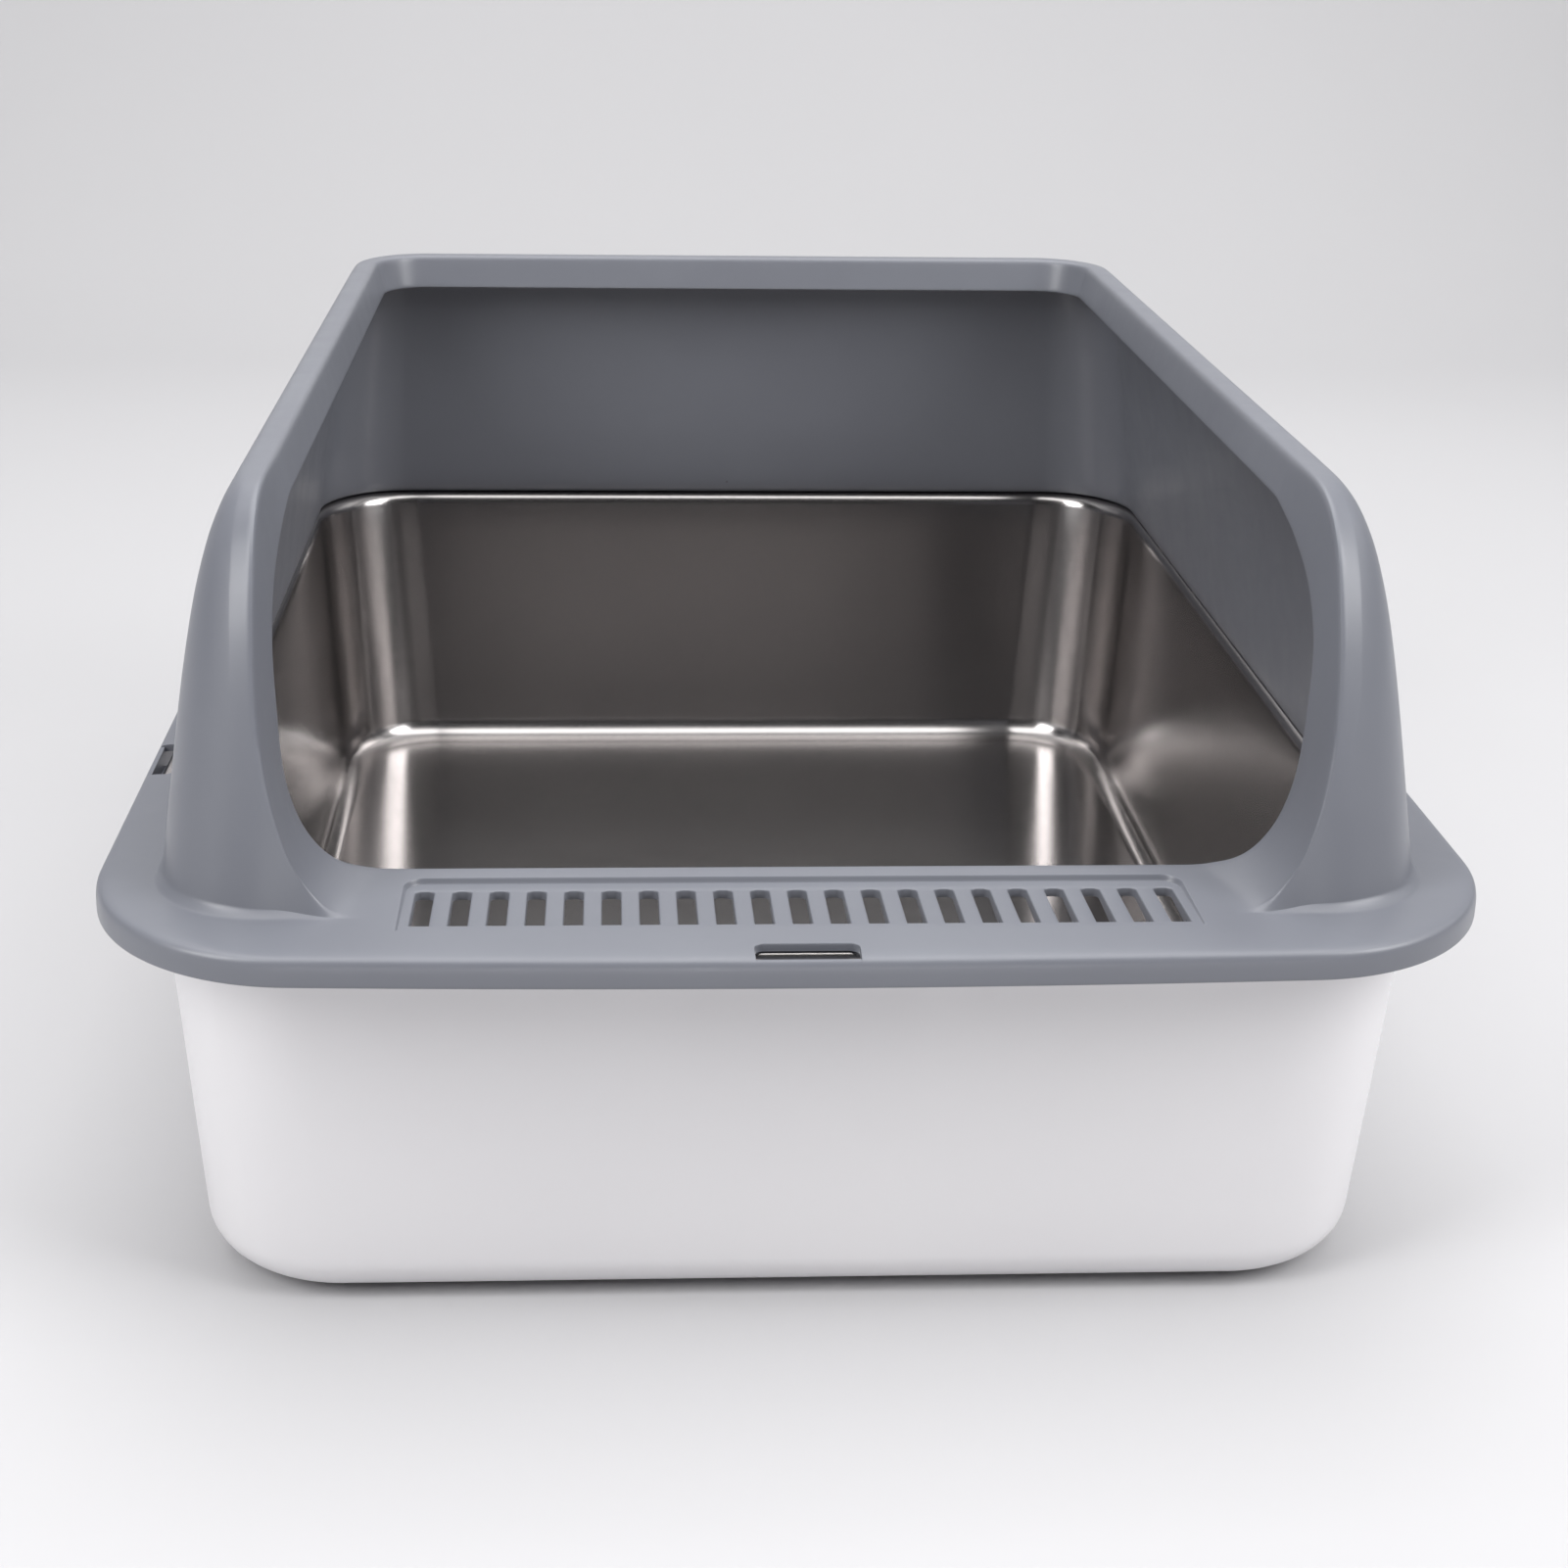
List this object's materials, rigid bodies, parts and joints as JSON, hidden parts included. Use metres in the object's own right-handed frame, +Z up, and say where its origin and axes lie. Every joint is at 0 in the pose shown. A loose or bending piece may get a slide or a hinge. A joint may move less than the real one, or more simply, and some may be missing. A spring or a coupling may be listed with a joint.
{
  "type": "semi-enclosed litter box",
  "caption": "Open-top litter box: drawn steel pan in a moulded tub, under a clip-on high-walled surround with a low entry platform and a slotted grille.",
  "frame": {"origin": "on the ground under the middle of the box", "axes": "+Z up, the low entry faces -Y, +X to the right seen from the front"},
  "size_m": [0.3646, 0.469, 0.2133],
  "materials": {
    "tub": "smooth satin white moulded plastic",
    "pan": "bright drawn stainless steel with a fine satin grain",
    "surround": "satin cool grey moulded plastic",
    "pads": "soft matte dark grey"
  },
  "bodies": {
    "tub": {"outer_tub": "tub", "foot_pad_front_left": "pads", "foot_pad_front_right": "pads", "foot_pad_back_left": "pads", "foot_pad_back_right": "pads"},
    "pan": {"steel_pan": "pan"},
    "surround": {"surround": "surround"}
  },
  "joints": [
    {"name": "pan_lift", "type": "slide", "parent": "tub", "child": "pan", "axis": [0, 0, 1], "range_m": [0, 0.13]},
    {"name": "surround_lift", "type": "slide", "parent": "pan", "child": "surround", "axis": [0, 0, 1], "range_m": [0, 0.08]}
  ]
}
